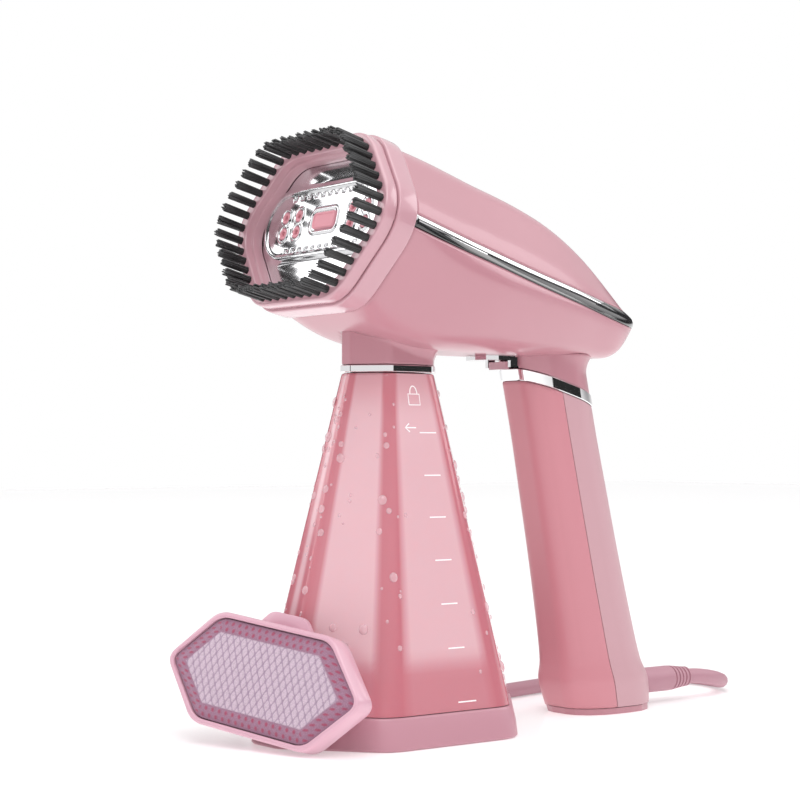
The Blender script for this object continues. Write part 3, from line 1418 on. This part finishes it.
    def patterns(self, piece: bpy.types.Object) -> None:
        """Writes the cushion's UV map in millimetres and the numbers that its material reads.

        Args:
            piece: The cushion.
        """

        def inwards(points: Array) -> Array:
            """Distance inwards of world points."""
            return self.inward(*self.local(points))

        low, high = self.border - 0.3, self.border + 0.3
        set_attribute(piece, "border", lambda p: 1 - ease(inwards(p), low, high))
        set_attribute(piece, "cell", lambda p: ease(self.cells(*self.local(p)), 0.1, 0.75))
        set_attribute(piece, "dots", lambda p: ease(self.dots(*self.local(p), inwards(p)), 0.25, 0.6))
        mesh = piece.data
        place = np.empty(len(mesh.vertices) * 3, np.float32)
        mesh.vertices.foreach_get("co", place)
        x, z = self.local(place.reshape(-1, 3) / MM)
        corner = np.empty(len(mesh.loops), np.int32)
        mesh.loops.foreach_get("vertex_index", corner)
        layer = mesh.uv_layers.new(name="millimetres")
        layer.data.foreach_set("uv", np.stack([x, z], -1)[corner].ravel())

    def build(self) -> None:
        """Builds every piece of the pad."""
        self.frame()
        self.cushion()


# ---- Lead ----
@dataclass
class Lead:
    """Mains lead: strain relief, a free bend on the floor, a tied coil of six turns and the plug on it."""

    radius: float = 3.25
    length: float = 1.75
    floor_line: float = 3.6
    relief: tuple[float, float] = (126.4, 166.0)
    height: float = 10.2
    coil: tuple[float, float] = (-88.0, 62.0)
    coil_radii: tuple[float, float, float] = (45.5, 39.0, 32.5)
    layers: tuple[float, float] = (3.6, 10.1)
    start_turn: float = 36.0
    shift: float = 60.0  # degrees in which a turn steps to the next place
    plug: tuple[float, float, float] = (-71.0, 23.0, 22.5)
    plug_length: float = 34.0
    plug_half: tuple[float, float] = (15.0, 9.0)

    def route(self) -> Array:
        """Points of the free stretch from the strain relief to the coil.

        Returns:
            Points (n, 3).
        """
        f = self.floor_line
        return np.array([
            (0, 166.3, 10.2), (0, 172, 9.9), (-0.6, 180, 8.8), (-3.6, 189.5, 6.9), (-8.8, 197.5, 5),
            (-16, 203, f + 0.3), (-24.5, 205.6, f), (-33.5, 205.4, f), (-42, 202.4, f), (-49.5, 196.8, f),
            (-55.2, 188.5, f), (-58.4, 178, f), (-58.8, 166, f), (-57.4, 152, f), (-54.8, 136, f),
            (-51.6, 120, f), (-48.4, 105, f),
        ], float)

    def turns(self) -> Array:
        """The coil, clockwise: three turns on the floor inwards, a rise, and three turns outwards on top.

        The turn angle falls steadily; the radius steps to the next place over a short sector of each turn
        and the height changes once, in the middle.

        Returns:
            Points (n, 3).
        """
        angle = np.arange(0, 6 * 360 + 102, 6.0)
        number = np.floor(angle / 360).astype(int)
        within = angle - number * 360
        outer, middle, inner = self.coil_radii
        stops = np.array([52.1, outer, middle, inner, inner, middle, outer, 42.5])
        step = np.clip(number, 0, 6)
        share = ease(within, 0, self.shift)
        radius = stops[step] * (1 - share) + stops[np.minimum(step + 1, 7)] * share
        low, high = self.layers
        z = low + (high - low) * ease(angle, 3 * 360 - 10, 3 * 360 + 50)
        z = z + (self.plug[2] - high) * ease(angle, 6 * 360, 6 * 360 + 96)
        turn = np.radians(self.start_turn - angle)
        return np.stack([self.coil[0] + radius * np.cos(turn), self.coil[1] + radius * np.sin(turn), z], -1)

    def path(self) -> Array:
        """The whole centre line, made smooth through its points.

        Each stretch between two points is a Catmull-Rom cubic of the four points round it.

        Returns:
            Points (n, 3).
        """
        entry = (self.plug[0] + 3.0, self.plug[1] + 0.2, self.plug[2])
        points = np.vstack([self.route(), self.turns(), [entry], [self.plug]])
        padded = np.vstack([2 * points[0] - points[1], points, 2 * points[-1] - points[-2]])
        a, b, c, d = (padded[i : len(padded) - 3 + i, None] for i in range(4))
        t = np.linspace(0, 1, 4, endpoint=False)[None, :, None]
        first, second, third = c - a, 2 * a - 5 * b + 4 * c - d, 3 * b - a - 3 * c + d
        curve = 0.5 * (2 * b + first * t + second * t**2 + third * t**3)
        return np.vstack([curve.reshape(-1, 3), points[-1]])

    def jacket(self) -> None:
        """The lead as one open curve with a round section.
        """
        path = self.path()
        measured = float(np.linalg.norm(np.diff(path, axis=0), axis=1).sum()) * MM
        log.info("lead measures %.3f m", measured)
        curve = bpy.data.curves.new("mains_lead_jacket", "CURVE")
        curve.dimensions, curve.bevel_depth, curve.bevel_resolution = "3D", self.radius * MM, 4
        curve.use_fill_caps = True
        line = curve.splines.new("POLY")
        line.points.add(len(path) - 1)
        line.points.foreach_set("co", np.column_stack([path * MM, np.ones(len(path))]).ravel())
        line.use_smooth = True
        curve.materials.append(CORD_PINK.material())
        piece = bpy.data.objects.new("mains_lead_jacket", curve)
        bpy.context.scene.collection.objects.link(piece)
        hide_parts("power_cord", "cord_coil")
        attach(piece, Body.STEAMER.value)
        log.info("built mains_lead_jacket")

    def relief_sleeve(self) -> None:
        """Strain relief: a turned sleeve with ribs and grooves that tapers to the lead."""
        start, end = self.relief
        plain, ribbed = np.linspace(start + 1, 152.0, 8), np.linspace(152.4, 165.0, 90)
        y = np.concatenate([[start, start + 0.2], plain, ribbed, [165.6, end, end]])
        taper = 5.5 - 1.2 * ease(y, 152.4, end)
        groove = 0.55 * (np.cos((y - 152.4) / 2.3 * 2 * math.pi) > 0.35) * ((y > 152.9) & (y < 164.3))
        radius = taper - groove
        radius[0], radius[-3], radius[-2], radius[-1] = 5.0, 4.0, 3.6, 3.3
        turn = np.arange(40) / 40 * 2 * math.pi
        along = np.broadcast_to(y[:, None], (len(y), 40))
        up = self.height + radius[:, None] * np.sin(turn)
        rows = np.stack([radius[:, None] * np.cos(turn), along, up], -1)
        skin("strain_relief_sleeve", rows, Look(CORD_PINK, Body.STEAMER, ("strain_relief",)), caps=True)

    def plug_shell(self) -> bpy.types.Object:
        """Moulded plug body that swells from the lead to its face, with rounded ends.

        Returns:
            The object.
        """
        outline = rounded([(1, 1, 0.3), (-1, 1, 0.3), (-1, -1, 0.3), (1, -1, 0.3)], 11, 6)
        w = np.concatenate([[0, 0.02, 0.06], np.linspace(0.12, 0.94, 18), [0.975, 0.995, 1.0]])
        grow = 0.5 + 0.5 * ease(w, 0, 0.7)
        soft = np.concatenate([[0.72, 0.88, 0.97], np.ones(18), [0.985, 0.95, 0.9]])
        x = self.plug[0] - self.plug_length * w
        y = self.plug[1] + outline[None, :, 0] * (self.plug_half[0] * grow * soft)[:, None]
        z = self.plug[2] + outline[None, :, 1] * (self.plug_half[1] * (0.5 + 0.5 * grow) * soft)[:, None]
        rows = np.stack([np.broadcast_to(x[:, None], y.shape), y, z], -1)
        return skin("plug_moulding", rows, Look(CORD_PINK, Body.STEAMER, ("plug_body",)), caps=True)

    def tie(self) -> bpy.types.Object:
        """Twist tie round the coiled bundle: a flat band bent to a rounded rectangle.

        Returns:
            The object.
        """
        middle = float(np.mean(self.coil_radii))
        corners = [(10.6, 7.2, 0.5), (-10.6, 7.2, 0.5), (-10.6, -7.2, 0.5), (10.6, -7.2, 0.5)]
        turn = math.radians(150)
        rows = []
        for grow, half in ((0.0, -2.0), (0.35, -1.8), (0.35, 1.8), (0.0, 2.0)):
            outline = rounded(corners, 9, 5) * (1 + grow / 9)
            r = middle + outline[:, 0]
            z = 7.0 + outline[:, 1] * 0.93
            rows.append(np.stack([
                self.coil[0] + r * math.cos(turn) - half * math.sin(turn),
                self.coil[1] + r * math.sin(turn) + half * math.cos(turn), np.maximum(z, 0.25),
            ], -1))
        return skin("lead_tie", np.stack(rows), Look(BLACK, Body.STEAMER), loop_rows=True)

    def build(self) -> None:
        """Builds every piece of the lead."""
        self.relief_sleeve()
        plug = self.plug_shell()
        tie = self.tie()
        self.jacket()


# ---- Pieces kept from the frame ----
INNER = {
    SHELL_PINK: ("handle_foot_plate", "tank_valve_cap"),
    COLLAR_PINK: ("steam_trigger",),
    CHROME: ("trigger_guard",),
    SCREW: (
        "handle_screw_1", "handle_screw_2", "handle_screw_3", "valve_spring", "pickup_filter",
        "heating_element", "plug_pin_left", "plug_pin_right",
    ),
    CAST: ("steam_chamber",),
    BLACK: ("water_pump", "tank_receiver", "microswitch", "thermostat", "heater_lead"),
    BOARD: ("circuit_board",),
    SILICONE: (
        "pickup_tube", "suction_hose", "pressure_hose", "tank_neck_seal", "microswitch_plunger",
        "thermal_fuse",
    ),
    BRASS: ("valve_poppet",),
    GASKET_PINK: ("nozzle_gasket", "mains_lead"),
}


def dress_inner() -> None:
    """Gives the pieces that stay as they come their finishes."""
    for finish, names in INNER.items():
        for name in names:
            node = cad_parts[name]
            node.data.materials.clear()
            node.data.materials.append(finish.material())
            log.info("dressed %s", name)


# ---- Studio ----
@dataclass
class Studio:
    """White floor and background, soft panels of light, dark flags for the mirrors, and the camera."""

    camera_at: tuple[float, float, float] = (0.5934, -0.4454, 0.1120)
    heading: float = 53.11  # degrees
    lens: float = 84.97
    shift: tuple[float, float] = (0.0144, 0.0593)

    def camera(self) -> None:
        """Level camera in front and to the right."""
        made = bpy.data.cameras.new("studio_camera")
        made.lens, made.sensor_width = self.lens, 36.0
        made.shift_x, made.shift_y = self.shift
        made.dof.use_dof = False
        seen = bpy.data.objects.new("studio_camera", made)
        seen.location = self.camera_at
        seen.rotation_euler = (math.radians(90), 0, math.radians(self.heading))
        bpy.context.scene.collection.objects.link(seen)
        bpy.context.scene.camera = seen

    def panel(self, name: str, at: tuple, aim: tuple, size: tuple, power: float) -> None:
        """A rectangular lamp turned towards a point.

        Args:
            name: The lamp's name.
            at: Its place in metres.
            aim: The point that it faces.
            size: Width and height in metres.
            power: Watts.
        """
        lamp = bpy.data.lights.new(name, "AREA")
        lamp.shape, lamp.size, lamp.size_y, lamp.energy = "RECTANGLE", *size, power
        panel = bpy.data.objects.new(name, lamp)
        panel.location = at
        direction = type(panel.location)(aim) - panel.location
        panel.rotation_euler = direction.to_track_quat("-Z", "Y").to_euler()
        bpy.context.scene.collection.objects.link(panel)

    def surroundings(self) -> None:
        """Pure white round the object, but a softer grey for what lights it and what mirrors see."""
        world = bpy.data.worlds.new("studio")
        bpy.context.scene.world = world
        world.use_nodes = True
        tree = world.node_tree
        tree.nodes.clear()
        path = add_node(tree, "ShaderNodeLightPath")
        place = add_node(tree, "ShaderNodeTexCoord")
        split = add_node(tree, "ShaderNodeSeparateXYZ", Vector=place.outputs["Generated"])
        ramp = add_node(tree, "ShaderNodeValToRGB", Fac=split.outputs["Z"])
        ramp.color_ramp.elements[0].position, ramp.color_ramp.elements[0].color = 0.0, linear("FFFFFF")
        ramp.color_ramp.elements[1].position, ramp.color_ramp.elements[1].color = 0.9, linear("FFFFFF")
        for at, colour in ((0.07, "F4F2F3"), (0.12, "3A383A"), (0.24, "454347"), (0.32, "F2F0F1")):
            stop = ramp.color_ramp.elements.new(at)
            stop.color = linear(colour)
        seen = add_node(tree, "ShaderNodeBackground", Color=linear("FFFFFF"), Strength=1.0)
        mirrored = add_node(tree, "ShaderNodeBackground", Color=ramp.outputs["Color"], Strength=0.95)
        soft = add_node(tree, "ShaderNodeBackground", Color=linear("FFFFFF"), Strength=0.66)
        glossy, direct = path.outputs["Is Glossy Ray"], path.outputs["Is Camera Ray"]
        inner = add_node(
            tree, "ShaderNodeMixShader", _0=glossy, _1=soft.outputs[0], _2=mirrored.outputs[0]
        )
        outer = add_node(tree, "ShaderNodeMixShader", _0=direct, _1=inner.outputs[0], _2=seen.outputs[0])
        add_node(tree, "ShaderNodeOutputWorld", Surface=outer.outputs[0])

    def floor(self) -> None:
        """Wide white glossy floor."""
        mesh = bpy.data.meshes.new("studio_floor")
        half = 4.0
        corners = [(-half, -half, 0), (half, -half, 0), (half, half, 0), (-half, half, 0)]
        mesh.from_pydata(corners, [], [(0, 1, 2, 3)])
        ground = bpy.data.objects.new("studio_floor", mesh)
        bpy.context.scene.collection.objects.link(ground)
        made = bpy.data.materials.new("painted_board_white")
        made.use_nodes = True
        shader = made.node_tree.nodes["Principled BSDF"]
        shader.inputs["Base Color"].default_value = linear("FBFBFB")
        shader.inputs["Roughness"].default_value = 0.16
        shader.inputs["Specular IOR Level"].default_value = 0.14
        shader.inputs["Emission Color"].default_value = linear("FFFFFF")
        shader.inputs["Emission Strength"].default_value = 0.3
        mesh.materials.append(made)

    def flag(self, name: str, bearing: float, width: float, height: float, away: float = 1.0) -> None:
        """A black card that only mirrors see, standing on the floor and facing the object.

        Args:
            name: The card's name.
            bearing: Degrees from +X towards +Y.
            width: Its width in metres.
            height: Its height in metres.
            away: Its distance in metres.
        """
        turn = math.radians(bearing)
        middle = np.array([math.cos(turn), math.sin(turn), 0]) * away
        side = np.array([-math.sin(turn), math.cos(turn), 0]) * width / 2
        up = np.array([0, 0, height])
        mesh = bpy.data.meshes.new(name)
        corners = [middle - side, middle + side, middle + side + up, middle - side + up]
        mesh.from_pydata([tuple(c) for c in corners], [], [(0, 1, 2, 3)])
        made = bpy.data.materials.get("black_card") or bpy.data.materials.new("black_card")
        made.use_nodes = True
        made.node_tree.nodes["Principled BSDF"].inputs["Base Color"].default_value = linear("0E0F10")
        made.node_tree.nodes["Principled BSDF"].inputs["Roughness"].default_value = 0.9
        mesh.materials.append(made)
        card = bpy.data.objects.new(name, mesh)
        card.visible_camera = card.visible_diffuse = card.visible_shadow = card.visible_transmission = False
        bpy.context.scene.collection.objects.link(card)

    def build(self) -> None:
        """Builds the whole studio."""
        self.camera()
        self.surroundings()
        self.floor()
        self.flag("right_flag", 40, 0.7, 0.42)
        self.flag("left_flag", -84, 0.22, 0.42)
        self.panel("key_panel", (0.9, -0.7, 1.5), (0, 0, 0.12), (0.8, 0.8), 10)
        self.panel("fill_panel", (-1.1, -0.9, 0.9), (0, 0, 0.14), (0.9, 0.9), 4)
        self.panel("top_panel", (0.1, 0.1, 1.5), (0, 0, 0.1), (1.4, 1.4), 9)
        self.panel("rear_panel", (0.5, 1.3, 0.8), (0, 0.05, 0.1), (0.8, 0.8), 4)
        view = bpy.context.scene.view_settings
        view.view_transform, view.look, view.exposure = "Standard", "None", 0.0


def main() -> None:
    """Builds the studio and every piece."""
    logging.basicConfig(level=logging.INFO, format="%(name)s: %(message)s")
    for assembly in (Studio(), WaterTank(), Barrel(), Head(), Handle(), Pad(), Lead()):
        log.info("building %s", type(assembly).__name__)
        assembly.build()
    dress_inner()


if __name__ == "__main__":
    main()
